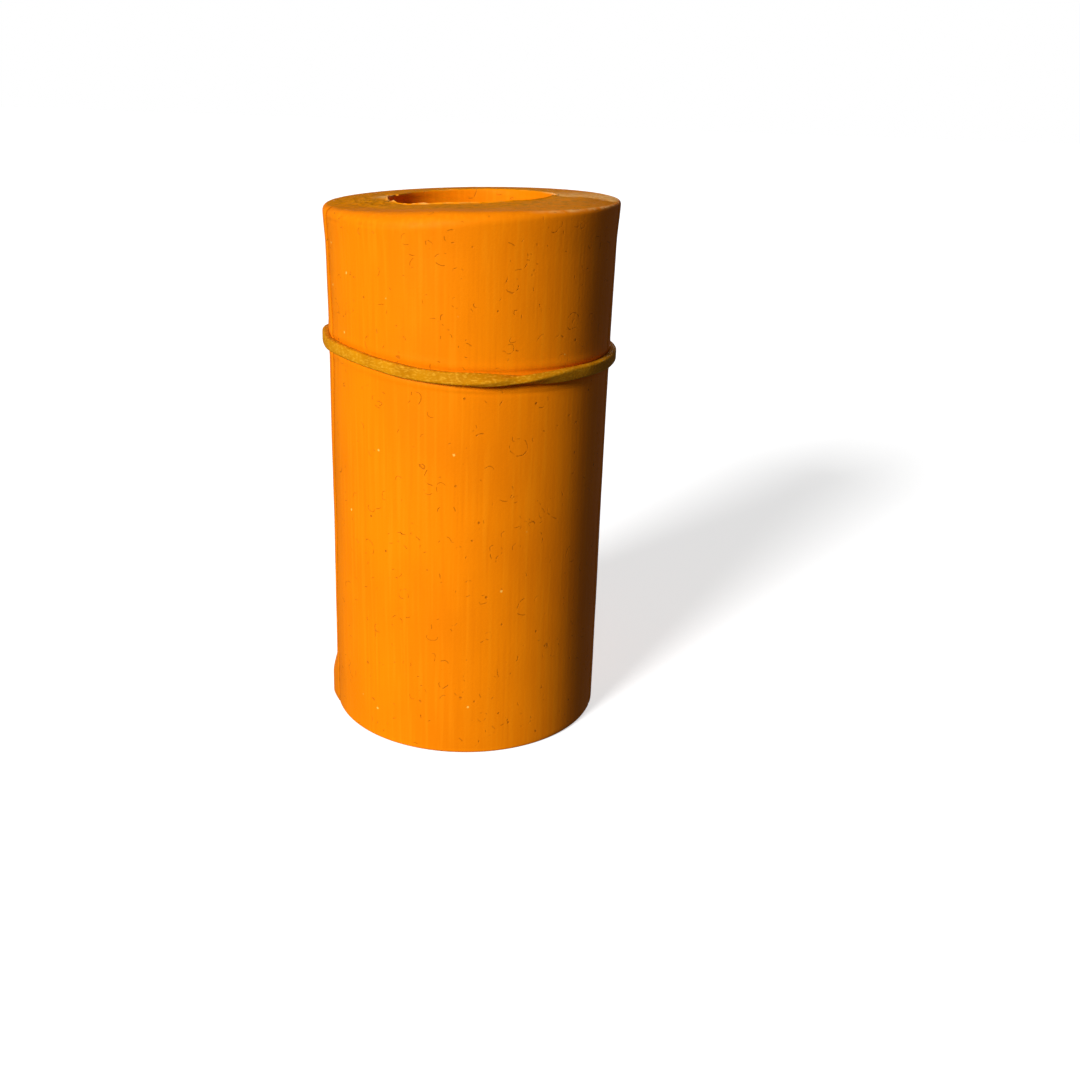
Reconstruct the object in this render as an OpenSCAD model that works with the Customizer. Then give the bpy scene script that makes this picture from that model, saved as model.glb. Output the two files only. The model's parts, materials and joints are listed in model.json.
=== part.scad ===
// Two-part silicone mold for a pillar candle with a draped figure in relief.
// The mold stands mouth up. The origin is at the middle of its base, +Z runs up its axis,
// and the front half comes away towards -Y.

/* [Mold] */
// Outside diameter at the base
outer_d = 83; // [70:1:110]
// Height of the outer arris above the base
mold_h = 156; // [120:1:200]
// Diameter of the candle cavity
cavity_d = 48; // [40:1:56]
// Thickness of the floor under the cavity
floor_t = 13; // [10:1:20]
// Rise of the poured top face from the outer arris to the cavity's edge
rim_rise = 1; // [0:0.5:3]
// Outward flare of the wall at the mouth
mouth_flare = 0.8; // [0:0.1:2]
// Inward squeeze of the wall under the band
waist = 0.2; // [0:0.1:0.5]
// Bevel on the outer edges
edge = 1; // [0.5:0.1:2]

/* [Wick hole] */
// Diameter of the hole that the wick is threaded through
wick_d = 4; // [2:0.5:6]

/* [Cut] */
// Angle by which the left cut runs forward of the X axis
left_cut_angle = 17; // [0:1:25]
// Angle by which the right cut runs forward of the X axis
right_cut_angle = 18; // [0:1:25]
// Gap left by the blade between the two halves
cut_gap = 0.3; // [0.2:0.1:0.6]
// How far the hand-cut line wanders to each side
cut_wander = 0.8; // [0:0.1:1.2]
// Number of wanders over the height of the cavity
cut_waves = 2.5; // [1:0.5:5]

/* [Figure] */
// How deep the figure is sunk into the cavity wall
relief = 4; // [2:0.5:6]
// Distance from the cavity floor to the figure's head end
head_gap = 14; // [10:1:30]
// Distance from the mouth to the figure's feet
foot_gap = 9; // [3:1:15]

/* [Rubber band] */
// Height of the band's middle above the base
band_z = 115; // [60:1:130]
// Width of the band
band_w = 3.4; // [2:0.2:8]
// Thickness of the band
band_t = 2.2; // [1:0.1:3]

/* [Hidden] */
$fn = 96;
base_r = outer_d / 2;
cavity_r = cavity_d / 2;
wick_r = wick_d / 2;
waist_r = base_r - waist;
mouth_r = base_r + mouth_flare;
rim_z = mold_h + rim_rise;

// The band lies this far off the squeezed wall
band_clear = 0.15;
band_r = waist_r + band_clear;

// The cut's outline has a point every cut_step along its height, and its block clears the mold
cut_step = 4;
block = 2 * outer_d;

// The figure lies upside down, with its head end towards the floor
figure_z = floor_t + head_gap;
figure_h = mold_h - foot_gap - figure_z;
shoulder_at = 0.16;
waist_at = 0.52;
hem_at = 0.92;
lock_r = 5;
fold_r = 4.5;
arm_r = 3.4;
foot_r = 3;
hair_angles = [-15, 0, 15];
skirt_angles = [-40, -24, -8, 8, 24, 40];
foot_angles = [-22, 10];
// Each arm: where it starts and ends, as [angle round the wall, share of the figure's height]
arms = [
    [[-46, 0.38], [-12, 0.5]],
    [[46, 0.4], [8, 0.52]]
];

// Distance of a cut from its flat plane at height z: straight through the floor, wavy above it
function cut_offset(z) = z < floor_t
    ? 0
    : cut_wander * sin(360 * cut_waves * (z - floor_t) / (rim_z - floor_t));

// Centre line of a cut, as [offset, z] points from below the base to above the rim
cut_line = [for (z = [-cut_step : cut_step : rim_z + cut_step]) [cut_offset(z), z]];

// Point on the cavity wall at an angle off the figure's middle and a share of its height
function wall_point(a, share) =
    [cavity_r * sin(a), cavity_r * cos(a), figure_z + share * figure_h];

// Everything on one side of a wavy cut through the axis: side 1 is the rear, side -1 is the front
module side_of_cut(cut_angle, side) {
    shifted = [for (p = cut_line) [p[0] + side * cut_gap / 2, p[1]]];
    last = shifted[len(shifted) - 1];
    rotate(cut_angle)
        translate([-block / 2, 0, 0])
            rotate([90, 0, 90])
                linear_extrude(block)
                    polygon(concat(shifted, [[side * block, last[1]], [side * block, -cut_step]]));
}

// The uncut mold: wall with a slight waist and flare, crowned top, cavity, floor and wick hole
module whole_mold() {
    rotate_extrude()
        polygon([
            [wick_r, 0],
            [base_r - edge, 0],
            [base_r, edge],
            [waist_r, band_z - band_w],
            [waist_r, band_z + band_w],
            [mouth_r, mold_h - edge],
            [mouth_r - edge, mold_h],
            [cavity_r, rim_z],
            [cavity_r, floor_t],
            [wick_r, floor_t]
        ]);
}

// A rod with bevelled ends between two points
module rod(from, to, r) {
    run = to - from;
    tilt = acos(run[2] / norm(run));
    turn = atan2(run[1], run[0]);
    bevel = r / 2;
    translate(from)
        rotate([0, tilt, turn])
            rotate_extrude()
                polygon([
                    [0, -bevel],
                    [r - bevel, -bevel],
                    [r, 0],
                    [r, norm(run)],
                    [r - bevel, norm(run) + bevel],
                    [0, norm(run) + bevel]
                ]);
}

// An upright rod that stands proud of the candle by the relief, at an angle off the middle
module upright(a, r, from_share, to_share) {
    inset = max(0, r - relief) / cavity_r;
    from = wall_point(a, from_share);
    to = wall_point(a, to_share);
    sunk = [1 - inset, 1 - inset, 1];
    rod([for (i = [0 : 2]) from[i] * sunk[i]], [for (i = [0 : 2]) to[i] * sunk[i]], r);
}

// The draped figure's outline forms: topknot, long hair, skirt folds, arms and feet
module figure() {
    upright(0, foot_r, 0, 0.06);
    upright(0, foot_r / 2, 0.06, shoulder_at);
    for (a = hair_angles) upright(a, lock_r, shoulder_at, waist_at);
    for (a = skirt_angles) upright(a, fold_r, waist_at, hem_at);
    for (a = foot_angles) upright(a, foot_r, hem_at, 1);
    for (arm = arms) rod(wall_point(arm[0][0], arm[0][1]), wall_point(arm[1][0], arm[1][1]), arm_r);
}

module rear_half() {
    color("darkorange")
        difference() {
            intersection() {
                whole_mold();
                union() {
                    side_of_cut(left_cut_angle, 1);
                    side_of_cut(-right_cut_angle, 1);
                }
            }
            figure();
        }
}

module front_half() {
    color("darkorange")
        intersection() {
            whole_mold();
            side_of_cut(left_cut_angle, -1);
            side_of_cut(-right_cut_angle, -1);
        }
}

module rubber_band() {
    color("goldenrod")
        translate([0, 0, band_z - band_w / 2])
            difference() {
                cylinder(h = band_w, r = band_r + band_t);
                translate([0, 0, -1]) cylinder(h = band_w + 2, r = band_r);
            }
}

rear_half();
front_half();
rubber_band();
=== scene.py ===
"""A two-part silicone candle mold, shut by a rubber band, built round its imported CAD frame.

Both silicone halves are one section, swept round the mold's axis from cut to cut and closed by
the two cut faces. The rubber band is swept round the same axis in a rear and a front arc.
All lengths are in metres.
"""
import json
import math

import bmesh
import bpy
import numpy as np
from mathutils import Matrix, Vector


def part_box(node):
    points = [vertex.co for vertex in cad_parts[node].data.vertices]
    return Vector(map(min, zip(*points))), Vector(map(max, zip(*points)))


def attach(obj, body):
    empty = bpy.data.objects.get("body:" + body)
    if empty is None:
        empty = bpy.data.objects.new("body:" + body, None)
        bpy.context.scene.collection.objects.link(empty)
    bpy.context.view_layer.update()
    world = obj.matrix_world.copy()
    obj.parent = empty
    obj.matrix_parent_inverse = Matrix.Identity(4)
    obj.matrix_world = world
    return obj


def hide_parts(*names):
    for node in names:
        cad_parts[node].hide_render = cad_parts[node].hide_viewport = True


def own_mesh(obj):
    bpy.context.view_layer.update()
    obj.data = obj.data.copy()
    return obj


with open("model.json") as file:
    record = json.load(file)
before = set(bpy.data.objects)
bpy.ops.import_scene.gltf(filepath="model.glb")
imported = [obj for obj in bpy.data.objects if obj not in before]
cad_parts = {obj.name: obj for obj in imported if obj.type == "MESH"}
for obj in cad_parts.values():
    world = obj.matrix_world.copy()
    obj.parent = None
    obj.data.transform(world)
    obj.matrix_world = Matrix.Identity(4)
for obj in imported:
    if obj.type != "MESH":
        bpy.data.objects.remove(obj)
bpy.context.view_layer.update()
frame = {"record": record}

# ---------------------------------------------------------------- sizes from the frame

MM = 0.001
MOUNTS = {mount["name"]: mount["dims"] for mount in frame["record"]["mounts"]}
REAR_LOW, REAR_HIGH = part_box("rear_half")
BAND_LOW, BAND_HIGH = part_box("rubber_band")

RIM_Z = REAR_HIGH.z
MOUTH_R = -REAR_LOW.x
CAVITY_R = MOUNTS["candle_cavity"]["r_mm"] * MM
FLOOR_Z = RIM_Z - MOUNTS["candle_cavity"]["length_mm"] * MM
WICK_R = MOUNTS["wick_hole"]["r_mm"] * MM
BAND_Z = (BAND_LOW.z + BAND_HIGH.z) / 2
BAND_WIDTH = BAND_HIGH.z - BAND_LOW.z

# ---------------------------------------------------------------- sizes of the silicone

TURN = 2 * math.pi

# The CAD's settings for the top face and the wall, which the frame doesn't carry
RIM_RISE = 1.0 * MM
MOUTH_FLARE = 0.8 * MM
WAIST = 0.2 * MM
ARRIS_Z = RIM_Z - RIM_RISE
BASE_R = MOUTH_R - MOUTH_FLARE
WAIST_R = BASE_R - WAIST

# Its settings for the two cuts: their angles round the axis, the gap between the halves, and how
# far and how often each cut wanders
LEFT_CUT = math.radians(180 + 17)
RIGHT_CUT = math.radians(-18)
CUT_GAP = 0.3 * MM
CUT_WANDER = 0.8 * MM
CUT_WAVES = 2.5
# The left cut strays towards the rear on its way down, by this angle at the base
LEFT_STRAY = math.radians(4.5)
# Depth of the knife's marks on the cut faces, and the gap that the torn top of a cut adds
KNIFE_MARK = 0.10 * MM
TORN_GAP = 0.2 * MM

# Rounding of the edges. The outer top edge goes from crisp to soft along its way round
BASE_EDGE = 0.8 * MM
RIM_EDGE = 0.35 * MM
CRISP_EDGE = 0.95 * MM
SOFT_EDGE = 4.35 * MM
CUT_EDGE = 0.30 * MM

# The wall: the band's groove, the raised lip on each side of it and the crease under it
GROOVE_DEPTH = 0.3 * MM
LIP_HEIGHT = 0.12 * MM
CREASE_DEPTH = 0.10 * MM
# The last stretch of the wall, where it flares most
FLARE_HEIGHT = 12 * MM
# How far the wall swells unevenly, over wide and over narrow places
WALL_SWELL = 0.12 * MM
WALL_RIPPLE = 0.03 * MM

# The band's line, against its level one in the CAD: lower in front, and up to the left and behind
FRONT_DROP = 1.2 * MM
FRONT_LEFT_RISE = 3.0 * MM
REAR_LEFT_RISE = 2.2 * MM
REAR_RISE = 0.9 * MM

# The rear half's bulge low on the left, and how far it stands proud beside the left cut
BULGE = 1.4 * MM
BULGE_TOP = 15 * MM
PROUD = 0.25 * MM

# The top face: its uneven surface, its grain where torn, and its flash, ridge and pour line
TOP_SWELL = 0.10 * MM
TOP_GRAIN = 0.24 * MM
FLASH_HEIGHT = 0.55 * MM
RIDGE_HEIGHT = 0.12 * MM
POUR_DEPTH = 0.25 * MM
# The poured top isn't level: it rises by these shares of the way towards +X and +Y
TOP_LEAN_X = 0.0426
TOP_LEAN_Y = 0.012
# It also swells at the front: this much at the cavity's edge and this much at the outer edge
RIM_SWELL = 1.1 * MM
EDGE_SWELL = 1.6 * MM
# The tilt and the swell start at this height, well above the band, and the left cut strays below it
SETTLE_Z = 130 * MM

# Splits in the top face, running out from the cavity: (angle in degrees, length, width, depth)
TEARS = [
    (154, 5.5 * MM, 0.5 * MM, 2.2 * MM),
    (181, 3.0 * MM, 0.5 * MM, 1.8 * MM),
    (-24, 3.0 * MM, 0.4 * MM, 0.9 * MM),
]

# How finely each stretch of the section is divided. The chain from the base up the wall has as many
# steps as the one down the cavity and over its floor, and the top face as many as the wick hole
BASE_STEPS = 20
EDGE_STEPS = 5
WALL_STEPS = 185
ARRIS_STEPS = 9
CROWN_STEPS = 24
RIM_STEPS = 3
ACROSS_STEPS = ARRIS_STEPS + CROWN_STEPS + RIM_STEPS
CHAIN_STEPS = BASE_STEPS + EDGE_STEPS + WALL_STEPS
# The columns round a half: an even middle, and near each cut some that widen away from it. The
# first one's width is a share of the way round
COLUMN_STEPS = 130
NEAR_CUT_STEPS = 8
FIRST_COLUMN = 0.0008
COLUMN_GROWTH = 1.35
# Rows over the top face crowd towards the cavity by this power
CROWN_POWER = 1.4
# Rows up the wall are closer by these factors, less one, round the band and under the top edge.
# They are worked out on a finer row of steps
BAND_CROWDING = 2.5
TOP_CROWDING = 1.5
FINE_STEPS = 2001

# The paint on the inner points of a cut face: a little of the dull ochre
CUT_PAINT = (0.15, 0.0, 0.0, 0.0)
# Faces that meet at more than this angle keep a sharp edge
SHARP_ANGLE = math.radians(50)


# ---------------------------------------------------------------- small helpers

def smooth(low, high, x):
    """Rises smoothly from 0 at low to 1 at high."""
    t = np.clip((x - low) / (high - low), 0, 1)
    return t * t * (3 - 2 * t)


def hump(x, middle, width):
    """A bell curve, 1 at the middle."""
    return np.exp(-(((x - middle) / width) ** 2))


def angle_from(az, middle):
    """Signed angle in degrees from the middle, given in degrees, to az in radians."""
    return (np.degrees(az) - middle + 180) % 360 - 180


def near_angle(az, middle, width):
    """A bell curve round the axis, 1 at the middle: both are in degrees, and az is in radians."""
    return hump(angle_from(az, middle), 0, width)


def lattice(ix, iy, iz, seed):
    """A repeatable random number from -1 to 1 for each whole-number lattice point.

    The large factors only scramble the bits.
    """
    n = (ix * 374761393 + iy * 668265263 + iz * 362437 + seed * 974634777) & 0xFFFFFFFF
    n = ((n ^ (n >> 13)) * 1274126177) & 0xFFFFFFFF
    n = n ^ (n >> 16)
    return n / 0x7FFFFFFF - 1


def value_noise(x, y, z, cell, seed):
    """Smooth repeatable noise from -1 to 1, with bumps about one cell across."""
    scaled = [np.asarray(c, float) / cell for c in (x, y, z)]
    whole = [np.floor(c).astype(np.int64) for c in scaled]
    part = [smooth(0, 1, c - w) for c, w in zip(scaled, whole)]
    total = 0
    for corner in np.ndindex(2, 2, 2):
        weight = 1
        for c, p in zip(corner, part):
            weight = weight * (p if c else 1 - p)
        total = total + weight * lattice(*(w + c for w, c in zip(whole, corner)), seed)
    return total


def wall_noise(az, r, z, cell, seed):
    """Noise at a place given by its angle, radius and height."""
    return value_noise(r * np.cos(az), r * np.sin(az), z, cell, seed)


# ---------------------------------------------------------------- the mold's surfaces

def cut_offset(r, z):
    """How far the hand-cut face stands off its flat plane: straight in the floor, wavy above it."""
    wave = CUT_WANDER * np.sin(TURN * CUT_WAVES * (z - FLOOR_Z) / (RIM_Z - FLOOR_Z))
    coarse = value_noise(r, 0 * r, z, cell=3.5 * MM, seed=11)
    fine = value_noise(r, 0 * r, z, cell=1.0 * MM, seed=12)
    return np.where(z < FLOOR_Z, 0, wave) + KNIFE_MARK * (coarse + 0.5 * fine)


def band_height(az):
    """Height of the band's middle: it rides up on the left of the front, and more just behind it."""
    past_left = angle_from(az, 180)
    front_left = FRONT_LEFT_RISE * near_angle(az, 207, 36)
    rear_left = REAR_LEFT_RISE * smooth(19, -5, past_left) * smooth(-80, -30, past_left)
    rear = REAR_RISE * near_angle(az, 90, 60)
    return BAND_Z - FRONT_DROP + front_left + rear_left + rear


def wall_radius(az, z):
    """Outer wall: straight, squeezed by the band and flared to the mouth, most of all near the top."""
    squeezed = BASE_R + (WAIST_R - BASE_R) * smooth(0, BAND_Z, z)
    flare = 0.5 * smooth(BAND_Z, ARRIS_Z, z) + 0.5 * smooth(ARRIS_Z - FLARE_HEIGHT, ARRIS_Z, z)
    r = squeezed + (MOUTH_R - WAIST_R) * flare
    off = z - band_height(az)
    groove = -GROOVE_DEPTH * smooth(0.75 * BAND_WIDTH, 0.45 * BAND_WIDTH, np.abs(off))
    lips = LIP_HEIGHT * hump(np.abs(off), 3.3 * MM, 0.9 * MM)
    crease = -CREASE_DEPTH * hump(off, -4.2 * MM, 0.5 * MM) * near_angle(az, 285, 35)
    swell = WALL_SWELL * wall_noise(az, r, z, cell=30 * MM, seed=1)
    ripple = WALL_RIPPLE * wall_noise(az, r, z, cell=7 * MM, seed=2)
    return r + groove + lips + crease + swell + ripple


def softness(az):
    """1 where the outer top edge is soft, left of the front, and 0 where it is crisp."""
    return near_angle(az, 243, 45)


def arris_radius(az):
    """How round the outer top edge is."""
    return CRISP_EDGE + (SOFT_EDGE - CRISP_EDGE) * softness(az)


def torn(az):
    """1 where the top face is torn and grainy: round both cuts."""
    return np.clip(near_angle(az, 185, 30) + near_angle(az, -5, 22), 0, 1)


def rim_flash(az, r):
    """Ragged flash along the cavity's edge, from 0 to 1, most of it by the two cuts."""
    coarse = wall_noise(az, CAVITY_R, 0, cell=2.2 * MM, seed=5)
    fine = wall_noise(az, CAVITY_R, 0, cell=0.9 * MM, seed=6)
    ragged = np.clip(0.6 * coarse + 0.4 * fine + 0.25, 0, 1)
    where = np.clip(0.25 + near_angle(az, 200, 34) + 0.8 * near_angle(az, -20, 14), 0, 1)
    return ragged * where * hump(r, CAVITY_R + 0.1 * MM, 0.6 * MM)


def arris_ridge(az, z):
    """Ragged flash along the outer top edge, from 0 to 1, only on the right of the front."""
    ragged = 0.6 + 0.4 * wall_noise(az, MOUTH_R, 0, cell=1.5 * MM, seed=7)
    past_right = angle_from(az, 0)
    where = smooth(-75, -55, past_right) * smooth(-10, -18, past_right)
    return ragged * where * hump(z, ARRIS_Z - 0.2 * MM, 0.3 * MM)


def pour_line(az, z):
    """A ragged little step under the soft part of the top edge, from 0 to 1."""
    waver = 0.5 * MM * wall_noise(az, MOUTH_R, 0, cell=5 * MM, seed=8)
    ragged = np.clip(0.6 + wall_noise(az, MOUTH_R, 0, cell=1.4 * MM, seed=9), 0, 1)
    return ragged * near_angle(az, 222, 30) * hump(z, ARRIS_Z - 3.4 * MM + waver, 0.32 * MM)


# ---------------------------------------------------------------- the sunk figure

# The figure lies head down, and its head is this far above the cavity's floor
HEAD_GAP = 14 * MM
FIGURE_HEAD_Z = FLOOR_Z + HEAD_GAP
# Rounded strokes in millimetres, across from the figure's middle and down from its head. Each is
# (path, half width, depth)
FIGURE = [
    # Topknot and its stem
    ([(0, 0.5), (0, 5)], 3.2, 2.8),
    ([(0, 6), (0, 14)], 1.8, 2.4),
    # Head and shoulders
    ([(0, 15), (0, 24)], 6.4, 3.8),
    ([(-9, 27), (0, 20), (9, 27)], 4.6, 3.0),
    # Arms, bent in to the waist
    ([(-11, 26), (-15, 40), (-18.5, 49), (-11, 60), (-2, 63)], 3.0, 3.8),
    ([(11, 26), (16, 38), (21, 50), (13, 58), (-6, 61)], 3.0, 4.4),
    # Sash, and two folds that cross below it
    ([(-13, 67), (0, 69), (13, 66)], 2.0, 3.2),
    ([(-16, 72), (-6, 92), (2, 110)], 1.7, 3.4),
    ([(15, 72), (5, 90), (-4, 108)], 1.7, 3.6),
    # Feet
    ([(-7, 113), (-8.5, 119)], 3.0, 3.2),
    ([(5.5, 114), (7, 120)], 3.2, 3.4),
]
HAIR_LOCKS = 7
LOCK_HALF_WIDTH = 1.5
LOCK_DEPTH = 4.6
SKIRT_FOLDS = 11
FOLD_HALF_WIDTH = 1.9
FOLD_DEPTH = 3.7
# How crisply the strokes keep apart where they meet
STROKE_SHARPNESS = 2.2


def figure_strokes():
    """All strokes of the figure: the listed ones, the hair's locks and the skirt's folds."""
    strokes = list(FIGURE)
    for k in range(HAIR_LOCKS):
        side = k - (HAIR_LOCKS - 1) / 2
        lock = [(1.5 * side, 18), (2.6 * side, 32), (2.3 * side, 58)]
        strokes.append((lock, LOCK_HALF_WIDTH, LOCK_DEPTH - 0.2 * abs(side)))
    for k in range(SKIRT_FOLDS):
        side = k - (SKIRT_FOLDS - 1) / 2
        hem = 112 - 1.2 * abs(side) + 2.0 * math.sin(2.3 * k)
        sway = 1.6 * math.sin(1.7 * k)
        fold = [(2.3 * side, 68), (3.2 * side + sway, 88), (3.0 * side - sway, hem)]
        strokes.append((fold, FOLD_HALF_WIDTH, FOLD_DEPTH))
    return strokes


def distance_to_path(u, v, path):
    """Distance from each point to a line through the path's points."""
    best = np.full(np.shape(u), np.inf)
    for (u0, v0), (u1, v1) in zip(path, path[1:]):
        du, dv = u1 - u0, v1 - v0
        t = np.clip(((u - u0) * du + (v - v0) * dv) / (du * du + dv * dv), 0, 1)
        best = np.minimum(best, np.hypot(u - u0 - t * du, v - v0 - t * dv))
    return best


def figure_depth(az, z):
    """How deep the figure is sunk into the middle of the rear wall, its strokes melting together."""
    u = np.radians(-angle_from(az, 90)) * CAVITY_R / MM
    v = (z - FIGURE_HEAD_Z) / MM
    total = np.zeros(np.shape(u))
    for path, half_width, depth in figure_strokes():
        d = distance_to_path(u, v, path) / half_width
        rise = depth * np.sqrt(np.clip(1 - d * d, 0, 1))
        total = total + np.exp(STROKE_SHARPNESS * rise) - 1
    return np.log1p(total) / STROKE_SHARPNESS * MM


# ---------------------------------------------------------------- the halves

def steps(count, high=1.0):
    """Even steps from 0 up to, and leaving out, high, as one row."""
    return np.linspace(0, high, count, endpoint=False)[None, :]


def wall_shares():
    """Shares of the way up the wall, crowded round the band and under the top edge, as one row."""
    share = np.linspace(0, 1, FINE_STEPS)
    at_band = BAND_CROWDING * hump(share, BAND_Z / RIM_Z, 0.04)
    at_top = TOP_CROWDING * hump(share, 1, 0.03)
    total = np.cumsum(1 + at_band + at_top)
    total = (total - total[0]) / (total[-1] - total[0])
    return np.interp(steps(WALL_STEPS), total, share)


def column_shares():
    """Shares of the way round a half, crowded near its two cuts, as one column."""
    near = np.cumsum(FIRST_COLUMN * COLUMN_GROWTH ** np.arange(NEAR_CUT_STEPS))
    middle = np.linspace(near[-1], 1 - near[-1], COLUMN_STEPS)
    return np.concatenate([[0], near[:-1], middle, 1 - near[-2::-1], [1]])[:, None]


def section(az):
    """The section's loop in each column of az: radius, height and the name of each point's stretch.

    It runs out along the base, up the wall, in over the top face, down the cavity and in along the
    floor to the wick hole.
    """
    arris = arris_radius(az)
    top_r = wall_radius(az, ARRIS_Z - arris)
    up = steps(WALL_STEPS)
    out = steps(BASE_STEPS)
    edge = steps(EDGE_STEPS, math.pi / 2)
    bend = steps(ARRIS_STEPS, math.pi / 2)
    rim = steps(RIM_STEPS, math.pi / 2)
    floor = steps(BASE_STEPS + EDGE_STEPS)
    wall_z = BASE_EDGE + wall_shares() * (ARRIS_Z - arris - BASE_EDGE)
    inward = 1 - (1 - steps(CROWN_STEPS)) ** CROWN_POWER
    crown_r = top_r - arris + inward * (CAVITY_R + RIM_EDGE - top_r + arris)
    # The crown is a little flatter at the front than at the rear
    crown_rise = RIM_RISE * (0.85 + 0.15 * np.sin(az))
    stretches = [
        ("base", WICK_R + out * (BASE_R - BASE_EDGE - WICK_R), 0),
        ("wall", BASE_R - BASE_EDGE * (1 - np.sin(edge)), BASE_EDGE * (1 - np.cos(edge))),
        ("wall", wall_radius(az, wall_z), wall_z),
        ("arris", top_r - arris * (1 - np.cos(bend)), ARRIS_Z - arris * (1 - np.sin(bend))),
        ("crown", crown_r, ARRIS_Z + inward * crown_rise),
        ("crown", CAVITY_R + RIM_EDGE * (1 - np.sin(rim)), RIM_Z - RIM_EDGE * (1 - np.cos(rim))),
        ("bore", CAVITY_R + 0 * up, RIM_Z - RIM_EDGE - up * (RIM_Z - RIM_EDGE - FLOOR_Z)),
        ("floor", CAVITY_R + floor * (WICK_R - CAVITY_R), FLOOR_Z),
        ("wick", WICK_R, FLOOR_Z * (1 - steps(ACROSS_STEPS))),
    ]
    radii, heights, names = [], [], []
    for name, r, z in stretches:
        r, z, _ = np.broadcast_arrays(r, z, az)
        radii.append(r)
        heights.append(z)
        names += [name] * r.shape[1]
    return np.concatenate(radii, axis=1), np.concatenate(heights, axis=1), np.array(names)


def shaped(side, az, r, z, on, cut_distance):
    """The section's radius and height, moved for all that isn't the same all the way round."""
    outside = on["wall"] | on["arris"]
    roll = CUT_EDGE * hump(cut_distance, 0, 0.45 * MM)
    new_r = r - np.where(outside, roll, 0) + np.where(on["bore"], 0.6 * roll, 0)
    new_z = z - np.where(on["crown"], 0.3 * roll, 0)

    if side > 0:
        degrees = np.degrees(az)
        at_left = smooth(140, 170, degrees) * smooth(195, 180, degrees)
        low_left = at_left * smooth(BULGE_TOP, 7 * MM, z)
        beside_cut = smooth(184, 195, degrees) * smooth(4 * MM, BULGE_TOP, z)
        spread = np.where(on["base"], (r / BASE_R) ** 8, np.where(outside, 1, 0))
        new_r = new_r + (BULGE * low_left + PROUD * beside_cut) * spread
        new_r = new_r + np.where(on["bore"], figure_depth(az, z), 0)

    inwards = smooth(MOUTH_R, MOUTH_R - 4 * MM, r)
    uneven = TOP_SWELL * wall_noise(az, r, 0, cell=9 * MM, seed=3)
    grain = TOP_GRAIN * wall_noise(az, r, 0, cell=1.6 * MM, seed=4) * (0.25 + 0.75 * torn(az))
    new_z = new_z + np.where(on["crown"] | on["arris"], (uneven + grain) * inwards, 0)
    new_z = new_z + np.where(on["crown"], FLASH_HEIGHT * rim_flash(az, r), 0)
    new_r = new_r + np.where(on["arris"], RIDGE_HEIGHT * arris_ridge(az, z), 0)
    new_r = new_r - np.where(outside, POUR_DEPTH * pour_line(az, z), 0)
    for middle, length, width, depth in TEARS:
        across = np.radians(angle_from(az, middle)) * r
        split = hump(across, 0, width) * smooth(length, 0.3 * length, r - CAVITY_R)
        new_z = new_z - np.where(on["crown"], depth * split, 0)
    return new_r, new_z


def dull_paint(az, r, on):
    """How dull and ochre each point is, from 0 to 1: the top face, but not its soft edge."""
    fading = 1 - softness(az) * smooth(30 * MM, 37 * MM, r)
    return np.where(on["crown"], (0.75 + 0.25 * torn(az)) * fading, 0)


def pale_paint(side, az, r, z, on):
    """How pale and torn each point is, from 0 to 1: flash, a flake and the rear half's right end."""
    flake = near_angle(az, 167, 8) * hump(r, 25.5 * MM, 2.5 * MM)
    past_right = angle_from(az, 0)
    rear_end = (side > 0) * smooth(35, 5, past_right) * smooth(-40, -15, past_right)
    crown = rim_flash(az, r) + flake + 0.8 * rear_end
    pale = np.where(on["crown"], crown, 0) + np.where(on["arris"], arris_ridge(az, z), 0)
    return np.clip(pale, 0, 1)


def painted_shade(side, az, r, z, on, cut_distance):
    """Painted shade on each point, from 0 to 1: seams, bulge, foot, pour line, a corner, and a darker
    strip by the left cut.
    """
    # A darker strip on the front half within some 7 mm of the left cut, and painted shade in the
    # narrow gap along every cut
    beside_left = (side < 0) * near_angle(az, 197, 14) * hump(cut_distance, 0, 7 * MM)
    seam = 0.6 * hump(cut_distance, 0, 0.35 * MM) + 0.22 * beside_left
    # Painted shade on the rear half's bulge low on the left
    low_left = (side > 0) * near_angle(az, 190, 8) * smooth(BULGE_TOP, 7 * MM, z)
    # Painted contact shadow along the foot of the wall, where it meets the floor
    foot = smooth(0.9 * MM, 0.3 * MM, z)
    # Painted shade over the right end of the front half's top face, on the side away from the light
    corner = (side < 0) * near_angle(az, -22, 20) * smooth(29 * MM, 38 * MM, r)
    # The pour line's recessed step also gets painted shade
    wall = seam + 0.3 * low_left + 0.4 * foot + 0.3 * pour_line(az, z)
    crown = 0.4 * seam + 0.55 * corner
    dark = np.where(on["wall"] | on["arris"], wall, 0) + np.where(on["crown"], crown, 0)
    return np.clip(dark, 0, 1)


def cut_angles(side, r, z):
    """Where a half's two cut faces stand, as angles round the axis: (first, last)."""
    torn_open = smooth(4 * MM, 0, r - CAVITY_R) * smooth(RIM_Z - 4 * MM, RIM_Z, z)
    off = cut_offset(r, z) + side * (CUT_GAP / 2 + TORN_GAP * torn_open)
    # The clip only keeps the arcsine defined close to the axis
    lean = np.arcsin(np.clip(off / r, -0.9, 0.9))
    left_cut = LEFT_CUT - LEFT_STRAY * smooth(SETTLE_Z, 0, z) - lean
    if side > 0:
        return RIGHT_CUT + lean, left_cut
    return left_cut, RIGHT_CUT + TURN + lean


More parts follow.
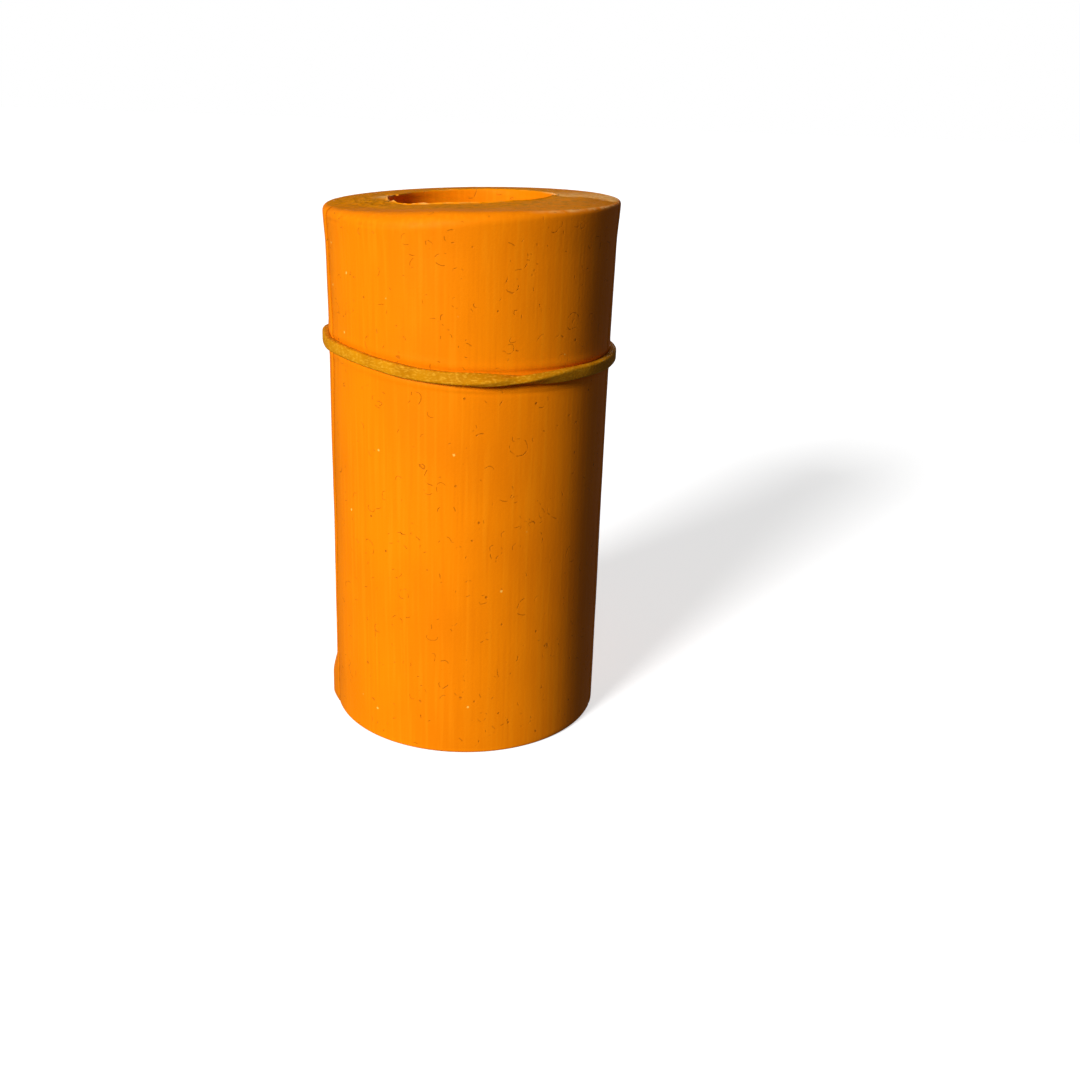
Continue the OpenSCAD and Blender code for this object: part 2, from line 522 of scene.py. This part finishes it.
def settle_top(points):
    """Tilts the top of the mold and swells it at the front, easing both out well above the band."""
    x, y, z = points.T
    az = np.arctan2(y, x)
    share = smooth(SETTLE_Z, ARRIS_Z, z)
    outward = np.clip((np.hypot(x, y) - CAVITY_R) / (MOUTH_R - CAVITY_R), 0, 1)
    from_front = angle_from(az, 290)
    rim_swell = RIM_SWELL * smooth(-75, -30, from_front) * smooth(85, 42, from_front)
    edge_swell = EDGE_SWELL * near_angle(az, 264, 42)
    swell = rim_swell + (edge_swell - rim_swell) * outward ** 3
    return np.stack([x, y, z + (TOP_LEAN_X * x + TOP_LEAN_Y * y + swell) * share], axis=1)


def cap_grid(loop):
    """The loop's points as the border of a grid, the wall on its left and the cavity on its right.

    The grid's inner points are still -1.
    """
    n, m = CHAIN_STEPS, ACROSS_STEPS
    grid = np.full((n + 1, m + 1), -1)
    grid[:, 0] = loop[:n + 1]
    grid[n, :] = loop[n:n + m + 1]
    grid[:, m] = loop[n + m:2 * n + m + 1][::-1]
    grid[0, 1:m] = loop[2 * n + m + 1:][::-1]
    return grid


def filled(values):
    """Fills a grid whose border is known, bending evenly from side to side (a Coons patch)."""
    u = np.linspace(0, 1, values.shape[0])[:, None]
    v = np.linspace(0, 1, values.shape[1])[None, :]
    across = (1 - v) * values[:, :1] + v * values[:, -1:]
    along = (1 - u) * values[:1, :] + u * values[-1:, :]
    low = (1 - v) * values[0, 0] + v * values[0, -1]
    high = (1 - v) * values[-1, 0] + v * values[-1, -1]
    return across + along - (1 - u) * low - u * high


def grid_quads(grid):
    """The four corners of each cell of a grid of point numbers."""
    corners = [grid[:-1, :-1], grid[:-1, 1:], grid[1:, 1:], grid[1:, :-1]]
    return np.stack([c.ravel() for c in corners], axis=1)


def placed(az, r, z):
    """Points given by angle, radius and height, as x, y and z along a new last axis."""
    return np.stack([r * np.cos(az), r * np.sin(az), z], axis=-1)


def cut_face(side, end, loop, r, z, count):
    """One cut face of a half: its grid of point numbers, and its new inner points.

    End is 0 for the half's first face and -1 for its last, and new points are numbered from count.
    """
    grid = cap_grid(loop)
    fresh = grid < 0
    grid_r = filled(np.where(fresh, 0, r.ravel()[grid]))
    grid_z = filled(np.where(fresh, 0, z.ravel()[grid]))
    grid[fresh] = count + np.arange(fresh.sum())
    face_az = cut_angles(side, grid_r, grid_z)[end]
    return grid, placed(face_az, grid_r, grid_z)[fresh]


def add_half(name, side, material):
    """One silicone half, as a closed mesh: side is 1 for the rear one and -1 for the front one.

    Its points carry the colour attribute "paint": dull ochre in red, pale and torn in green, inner
    wall in blue and painted shade in alpha.
    """
    flat_first, flat_last = (RIGHT_CUT, LEFT_CUT) if side > 0 else (LEFT_CUT, RIGHT_CUT + TURN)
    share = column_shares()
    plain_r, plain_z, names = section(flat_first + share * (flat_last - flat_first))
    on = {name: (names == name)[None, :] for name in ("base", "wall", "arris", "crown", "bore")}
    first, last = cut_angles(side, plain_r, plain_z)
    az = first + share * (last - first)
    cut_distance = np.minimum(az - first, last - az) * plain_r
    r, z = shaped(side, az, plain_r, plain_z, on, cut_distance)
    dull = dull_paint(az, plain_r, on)
    pale = pale_paint(side, az, plain_r, plain_z, on)
    inner = np.broadcast_to(np.isin(names, ("bore", "floor"))[None, :], r.shape)
    # The painted shade goes into the alpha channel
    dark = painted_shade(side, az, plain_r, plain_z, on, cut_distance)

    points = placed(az, r, z).reshape(-1, 3)
    paint = np.stack([dull, pale, inner, dark], axis=-1).reshape(-1, 4)
    index = np.arange(len(points)).reshape(r.shape)
    quads = [grid_quads(np.concatenate([index, index[:, :1]], axis=1))]
    for end in (0, -1):
        grid, new_points = cut_face(side, end, index[end], r, z, len(points))
        points = np.concatenate([points, new_points])
        paint = np.concatenate([paint, np.tile(CUT_PAINT, (len(new_points), 1))])
        quads.append(grid_quads(grid))
    return add_mesh(name, settle_top(points), np.concatenate(quads).tolist(), material, paint)


def add_mesh(name, points, faces, material, paint=None):
    """A mesh object from points and faces, with its faces turned outwards and shaded smooth."""
    mesh = bpy.data.meshes.new(name)
    mesh.from_pydata([tuple(p) for p in points], [], faces)
    if paint is not None:
        layer = mesh.color_attributes.new("paint", "FLOAT_COLOR", "POINT")
        layer.data.foreach_set("color", np.asarray(paint, np.float32).ravel())
    work = bmesh.new()
    work.from_mesh(mesh)
    bmesh.ops.recalc_face_normals(work, faces=work.faces)
    work.to_mesh(mesh)
    work.free()
    mesh.shade_smooth()
    mesh.set_sharp_from_angle(angle=SHARP_ANGLE)
    mesh.materials.append(material)
    obj = bpy.data.objects.new(name, mesh)
    bpy.context.scene.collection.objects.link(obj)
    return obj


# ---------------------------------------------------------------- the rubber band

BAND_THICK = 2.2 * MM
BAND_CORNER = 0.65 * MM
CORNER_STEPS = 6
ARC_STEPS = 171
# How far the band lies off the wall, how far it wanders up and down, and how unevenly thick it is
BAND_CLEAR = 0.03 * MM
BAND_WANDER = 0.15 * MM
BAND_UNEVEN = 0.04
# The two arcs of the band meet a little in front of the cuts
BAND_SPLIT = math.radians(2.2)


def band_twist(az):
    """How far the band is turned over: a half twist at the front right, undone again at the rear."""
    degrees = np.degrees(az)
    forward = (degrees > 180) * smooth(-108, -45, angle_from(az, 0))
    back = (degrees <= 180) * smooth(115, 60, degrees)
    return math.pi * (forward + back)


def band_outline():
    """The band's rounded section: how far out and how far up each point is from its middle."""
    out, up = [], []
    corners = ((1, 1, 0), (-1, 1, 90), (-1, -1, 180), (1, -1, 270))
    for out_side, up_side, first in corners:
        for degrees in np.linspace(first, first + 90, CORNER_STEPS):
            turn = math.radians(degrees)
            out.append(out_side * (BAND_THICK / 2 - BAND_CORNER) + BAND_CORNER * math.cos(turn))
            up.append(up_side * (BAND_WIDTH / 2 - BAND_CORNER) + BAND_CORNER * math.sin(turn))
    return np.array(out)[None, :], np.array(up)[None, :]


def add_band(name, first, last, material):
    """One arc of the band, from angle to angle, lying in its groove."""
    az = np.linspace(first, last, ARC_STEPS)[:, None]
    out, up = band_outline()
    twist = band_twist(az)
    along = az * BASE_R
    height = band_height(az) + BAND_WANDER * value_noise(along, 0 * az, 0 * az, cell=14 * MM, seed=21)
    swell = 1 + BAND_UNEVEN * value_noise(along, 0 * az, 0 * az, cell=6 * MM, seed=22)
    reach = BAND_THICK / 2 * np.abs(np.cos(twist)) + BAND_WIDTH / 2 * np.abs(np.sin(twist))
    middle = wall_radius(az, band_height(az)) + BAND_CLEAR + reach
    r = middle + swell * (out * np.cos(twist) - up * np.sin(twist))
    z = height + swell * (out * np.sin(twist) + up * np.cos(twist))
    points = placed(az, r, z).reshape(-1, 3)
    index = np.arange(len(points)).reshape(r.shape)
    quads = grid_quads(np.concatenate([index, index[:, :1]], axis=1)).tolist()
    ends = [index[0].tolist(), index[-1].tolist()]
    return add_mesh(name, points, quads + ends, material)


# ---------------------------------------------------------------- materials

def new_material(name):
    """An empty node material and its tree."""
    material = bpy.data.materials.new(name)
    material.use_nodes = True
    material.node_tree.nodes.clear()
    return material, material.node_tree


def node(tree, kind, **sockets):
    """A shader node with its inputs set or linked, by name with _ for a space or by number as _0."""
    made = tree.nodes.new(kind)
    for name, value in sockets.items():
        key = int(name[1:]) if name[1:].isdigit() else name.replace("_", " ")
        if isinstance(value, bpy.types.NodeSocket):
            tree.links.new(value, made.inputs[key])
        else:
            made.inputs[key].default_value = value
    return made


def noise(tree, place, scale, stretch=(1, 1, 1), detail=2.0):
    """A noise texture's value, its cells 1 / scale metres across: a stretch under 1 draws them out."""
    mapped = node(tree, "ShaderNodeMapping", Vector=place, Scale=stretch)
    place = mapped.outputs["Vector"]
    return node(tree, "ShaderNodeTexNoise", Vector=place, Scale=scale, Detail=detail).outputs["Fac"]


def cell_distance(tree, place, spacing):
    """Distance to the nearest of many scattered points, as a share of their spacing."""
    cells = node(tree, "ShaderNodeTexVoronoi", Vector=place, Scale=1 / spacing)
    return cells.outputs["Distance"]


def dots(tree, place, spacing, radius, seed):
    """1 inside scattered round dots and 0 between them: the seed moves the whole pattern."""
    moved = node(tree, "ShaderNodeMapping", Vector=place, Location=(seed, 0.37 * seed, 0.61 * seed))
    distance = cell_distance(tree, moved.outputs["Vector"], spacing)
    return band_pass(tree, distance, radius / spacing, 0.6 * radius / spacing)


# The scratches: half of a line's width, and how far their rings are bent out of round
SCRATCH_HALF_WIDTH = 0.13 * MM
SCRATCH_BEND = 2 * MM


def scratches(tree, place, spacing, radius, seed):
    """1 along short curved scratches, each a piece of a small bent ring, and 0 between them."""
    moved = node(tree, "ShaderNodeMapping", Vector=place, Location=(seed, 1.7 * seed, 0.4 * seed))
    wobble = node(tree, "ShaderNodeTexNoise", Vector=place, Scale=300, Detail=1.0)
    bent = tree.nodes.new("ShaderNodeVectorMath")
    bent.operation = "MULTIPLY_ADD"
    bent.inputs[1].default_value = (SCRATCH_BEND, SCRATCH_BEND, SCRATCH_BEND)
    tree.links.new(wobble.outputs["Color"], bent.inputs[0])
    tree.links.new(moved.outputs["Vector"], bent.inputs[2])
    distance = cell_distance(tree, bent.outputs["Vector"], spacing)
    middle = radius / spacing
    half_width = SCRATCH_HALF_WIDTH / spacing
    inner_side = band_pass(tree, distance, middle - half_width, middle)
    outer_side = band_pass(tree, distance, middle + half_width, middle)
    broken = noise(tree, moved.outputs["Vector"], 450, detail=1.0)
    return times(tree, times(tree, inner_side, outer_side), band_pass(tree, broken, 0.56, 0.62))


def band_pass(tree, value, start, end, low=0.0, high=1.0):
    """Runs smoothly from low to high as the value goes from start to end."""
    made = tree.nodes.new("ShaderNodeMapRange")
    made.interpolation_type = "SMOOTHSTEP"
    tree.links.new(value, made.inputs["Value"])
    for name, number in (("From Min", start), ("From Max", end), ("To Min", low), ("To Max", high)):
        made.inputs[name].default_value = number
    return made.outputs["Result"]


def mixed(tree, share, first, second):
    """A colour that goes from first to second with share."""
    made = tree.nodes.new("ShaderNodeMix")
    made.data_type = "RGBA"
    for value, socket in ((share, made.inputs[0]), (first, made.inputs[6]), (second, made.inputs[7])):
        if isinstance(value, bpy.types.NodeSocket):
            tree.links.new(value, socket)
        elif isinstance(value, tuple):
            socket.default_value = (*value, 1.0)
        else:
            socket.default_value = value
    return made.outputs[2]


def times(tree, first, second):
    """The product of two values."""
    made = tree.nodes.new("ShaderNodeMath")
    made.operation = "MULTIPLY"
    for value, socket in ((first, made.inputs[0]), (second, made.inputs[1])):
        if isinstance(value, bpy.types.NodeSocket):
            tree.links.new(value, socket)
        else:
            socket.default_value = value
    return made.outputs["Value"]


def bumped(tree, layers):
    """A normal bent by each (height value, depth in metres) in turn."""
    normal = None
    for height, depth in layers:
        made = node(tree, "ShaderNodeBump", Height=height, Strength=1.0, Distance=depth)
        if normal is not None:
            tree.links.new(normal, made.inputs["Normal"])
        normal = made.outputs["Normal"]
    return normal


# The silicone's colours: three of the wall, two of the dull top face, the painted shade, and its small
# marks
SILICONE = (0.90, 0.230, 0.001)
SILICONE_DEEP = (0.82, 0.200, 0.001)
SILICONE_LIGHT = (0.94, 0.275, 0.004)
OCHRE = (0.72, 0.238, 0.001)
OCHRE_DARK = (0.45, 0.15, 0.001)
TORN = (0.95, 0.50, 0.15)
# The colour of the painted shade in the seams, on the bulge, at the foot, in the pour line and at a
# corner
PAINTED_SHADE_COLOUR = (0.36, 0.09, 0.002)
PIT = (0.36, 0.08, 0.003)
SPECK = (0.95, 0.55, 0.10)


def silicone_material():
    """Satin orange silicone with streaks, pits, specks and scratches, a dull ochre top face and
    painted shade.
    """
    material, tree = new_material("orange_silicone")
    place = node(tree, "ShaderNodeTexCoord").outputs["Object"]
    paint = tree.nodes.new("ShaderNodeVertexColor")
    paint.layer_name = "paint"
    channels = node(tree, "ShaderNodeSeparateColor", Color=paint.outputs["Color"])
    dull, pale, inner = (channels.outputs[k] for k in range(3))
    # The alpha channel holds the painted shade
    dark = paint.outputs["Alpha"]

    cloud = noise(tree, place, 28, detail=3.0)
    streak = noise(tree, place, 1000, (1, 1, 0.03))
    grain = noise(tree, place, 1100)
    crumb = noise(tree, place, 520, detail=4.0)
    layers = noise(tree, place, 260, (0.12, 0.12, 1.6))
    all_pits = dots(tree, place, spacing=5 * MM, radius=0.42 * MM, seed=0.013)
    pits = times(tree, all_pits, band_pass(tree, cloud, 0.45, 0.6))
    specks = dots(tree, place, spacing=11 * MM, radius=0.45 * MM, seed=0.029)
    long_scratches = scratches(tree, place, spacing=9 * MM, radius=2.6 * MM, seed=0.051)
    short_scratches = scratches(tree, place, spacing=6 * MM, radius=1.5 * MM, seed=0.087)

    dark_crumbs = times(tree, dull, band_pass(tree, crumb, 0.5, 0.65, high=0.7))
    light_crumbs = times(tree, dull, band_pass(tree, crumb, 0.45, 0.32, high=0.6))
    colour = mixed(tree, band_pass(tree, cloud, 0.3, 0.7), SILICONE_DEEP, SILICONE)
    for share, coat in (
        (band_pass(tree, streak, 0.48, 0.72, high=0.35), SILICONE_LIGHT),
        (band_pass(tree, streak, 0.48, 0.28, high=0.6), SILICONE_DEEP),
        (dull, OCHRE),
        (dark_crumbs, OCHRE_DARK),
        (light_crumbs, SILICONE_LIGHT),
        (times(tree, pale, band_pass(tree, crumb, 0.3, 0.55)), TORN),
        # Painted shade from the alpha channel, broken up by the crumb noise
        (times(tree, dark, band_pass(tree, crumb, 0.3, 0.6, low=1.0, high=0.6)), PAINTED_SHADE_COLOUR),
        (times(tree, pits, 0.65), PIT),
        (times(tree, long_scratches, 0.6), PIT),
        (times(tree, short_scratches, 0.5), PIT),
        (times(tree, specks, 0.8), SPECK),
    ):
        colour = mixed(tree, share, colour, coat)

    crumbs = times(tree, band_pass(tree, dull, 0.7, 1.0), crumb)
    rings = times(tree, inner, layers)
    normal = bumped(tree, [
        (grain, 0.035 * MM),
        (streak, 0.03 * MM),
        (crumbs, 0.8 * MM),
        (rings, 0.25 * MM),
        (pits, -0.12 * MM),
        (long_scratches, -0.10 * MM),
        (short_scratches, -0.08 * MM),
    ])
    shader = node(
        tree, "ShaderNodeBsdfPrincipled",
        Base_Color=colour,
        Roughness=band_pass(tree, grain, 0.2, 0.8, low=0.44, high=0.58),
        IOR=1.41,
        Specular_IOR_Level=band_pass(tree, dull, 0.0, 0.7, low=0.16, high=0.03),
        Specular_Tint=(1.0, 0.6, 0.2, 1.0),
        Normal=normal,
    )
    node(tree, "ShaderNodeOutputMaterial", Surface=shader.outputs["BSDF"])
    return material


# The rubber's colours: its ground, its cloudy dark places and its light grain
RUBBER = (0.62, 0.235, 0.002)
RUBBER_DARK = (0.50, 0.175, 0.001)
RUBBER_LIGHT = (0.78, 0.36, 0.02)


def rubber_material():
    """Mustard natural rubber with a fine grain along the band and a dusty, uneven face."""
    material, tree = new_material("mustard_rubber")
    place = node(tree, "ShaderNodeTexCoord").outputs["Object"]
    cloud = noise(tree, place, 160, detail=3.0)
    grain = noise(tree, place, 1500, (0.7, 0.7, 1.4), detail=3.0)
    fleck = noise(tree, place, 1500, detail=1.0)
    colour = mixed(tree, band_pass(tree, cloud, 0.3, 0.7), RUBBER_DARK, RUBBER)
    colour = mixed(tree, band_pass(tree, grain, 0.45, 0.7, high=0.7), colour, RUBBER_LIGHT)
    shader = node(
        tree, "ShaderNodeBsdfPrincipled",
        Base_Color=colour,
        Roughness=band_pass(tree, fleck, 0.2, 0.8, low=0.5, high=0.7),
        IOR=1.52,
        Specular_IOR_Level=0.12,
        Specular_Tint=(1.0, 0.7, 0.2, 1.0),
        Normal=bumped(tree, [(grain, 0.10 * MM), (fleck, 0.03 * MM)]),
    )
    node(tree, "ShaderNodeOutputMaterial", Surface=shader.outputs["BSDF"])
    return material


def floor_material():
    """Plain white paper, with a glow of its own that keeps it near white."""
    material, tree = new_material("white_paper")
    shader = node(
        tree, "ShaderNodeBsdfPrincipled",
        Base_Color=(0.85, 0.85, 0.85, 1.0),
        Roughness=1.0,
        Specular_IOR_Level=0.0,
        Emission_Color=(1.0, 1.0, 1.0, 1.0),
        Emission_Strength=0.62,
    )
    node(tree, "ShaderNodeOutputMaterial", Surface=shader.outputs["BSDF"])
    return material


# ---------------------------------------------------------------- the stage

# The floor's width and depth
FLOOR_SIZE = 12
# The floor lies this far under the mold's base, so that the two faces don't coincide
FLOOR_DROP = 0.02 * MM

# The camera: degrees down from level, turned towards +X and rolled, its lens and its place
CAMERA_PITCH = 20.781
CAMERA_YAW = 5.748
CAMERA_ROLL = 2.167
CAMERA_LENS = 39.79
CAMERA_PLACE = (-0.01256, -0.35269, 0.18699)


def add_floor():
    """A wide white floor that doesn't throw light back on the mold."""
    bpy.ops.mesh.primitive_plane_add(size=FLOOR_SIZE, location=(0, 0, -FLOOR_DROP))
    floor = bpy.context.object
    floor.name = "floor"
    floor.data.materials.append(floor_material())
    floor.visible_diffuse = False
    floor.visible_glossy = False


def add_sun(name, azimuth, elevation, strength, spread, shine=True):
    """Soft light from a direction: azimuth from +X, elevation and spread are all in degrees."""
    light = bpy.data.lights.new(name, "SUN")
    light.energy = strength
    light.angle = math.radians(spread)
    obj = bpy.data.objects.new(name, light)
    az, up = math.radians(azimuth), math.radians(elevation)
    towards = Vector((math.cos(az) * math.cos(up), math.sin(az) * math.cos(up), math.sin(up)))
    obj.rotation_euler = towards.to_track_quat("Z", "Y").to_euler()
    obj.visible_glossy = shine
    bpy.context.scene.collection.objects.link(obj)


def set_world(strength):
    """White where the camera sees it, and a faint even light on everything else."""
    world = bpy.data.worlds.new("studio")
    bpy.context.scene.world = world
    world.use_nodes = True
    tree = world.node_tree
    tree.nodes.clear()
    seen = node(tree, "ShaderNodeBackground", Color=(1.0, 1.0, 1.0, 1.0), Strength=1.0)
    unseen = node(tree, "ShaderNodeBackground", Color=(1.0, 1.0, 1.0, 1.0), Strength=strength)
    path = node(tree, "ShaderNodeLightPath")
    both = node(
        tree, "ShaderNodeMixShader",
        _0=path.outputs["Is Camera Ray"],
        _1=unseen.outputs["Background"],
        _2=seen.outputs["Background"],
    )
    node(tree, "ShaderNodeOutputWorld", Surface=both.outputs["Shader"])


def add_camera():
    """The camera, a little above the mold and looking down on it."""
    pitch, yaw, roll = (math.radians(a) for a in (CAMERA_PITCH, CAMERA_YAW, CAMERA_ROLL))
    ahead = math.cos(pitch)
    forward = Vector((math.sin(yaw) * ahead, math.cos(yaw) * ahead, -math.sin(pitch)))
    level = Vector((math.cos(yaw), -math.sin(yaw), 0))
    upward = level.cross(forward)
    right = level * math.cos(roll) + upward * math.sin(roll)
    top = upward * math.cos(roll) - level * math.sin(roll)
    camera = bpy.data.cameras.new("camera")
    camera.sensor_width = 36
    camera.lens = CAMERA_LENS
    obj = bpy.data.objects.new("camera", camera)
    turn = Matrix((right, top, -forward)).transposed().to_4x4()
    obj.matrix_world = Matrix.Translation(CAMERA_PLACE) @ turn
    bpy.context.scene.collection.objects.link(obj)
    bpy.context.scene.camera = obj


# ---------------------------------------------------------------- the scene

silicone = silicone_material()
rubber = rubber_material()

rear = add_half("rear_silicone", 1, silicone)
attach(rear, "rear")
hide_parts("rear_half")

front = add_half("front_silicone", -1, silicone)
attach(front, "front")
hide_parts("front_half")

band_left = LEFT_CUT + BAND_SPLIT
band_right = RIGHT_CUT - BAND_SPLIT
rear_band = add_band("band_rear_arc", band_right, band_left, rubber)
front_band = add_band("band_front_arc", band_left, band_right + TURN, rubber)
for arc in (rear_band, front_band):
    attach(arc, "band")
    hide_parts("rubber_band")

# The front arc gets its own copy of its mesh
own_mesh(front_band)

add_floor()
add_sun("key", azimuth=230, elevation=22, strength=4.3, spread=18)
add_sun("back", azimuth=75, elevation=10, strength=1.0, spread=30, shine=False)
set_world(strength=0.08)
add_camera()
bpy.context.scene.view_settings.view_transform = "Standard"
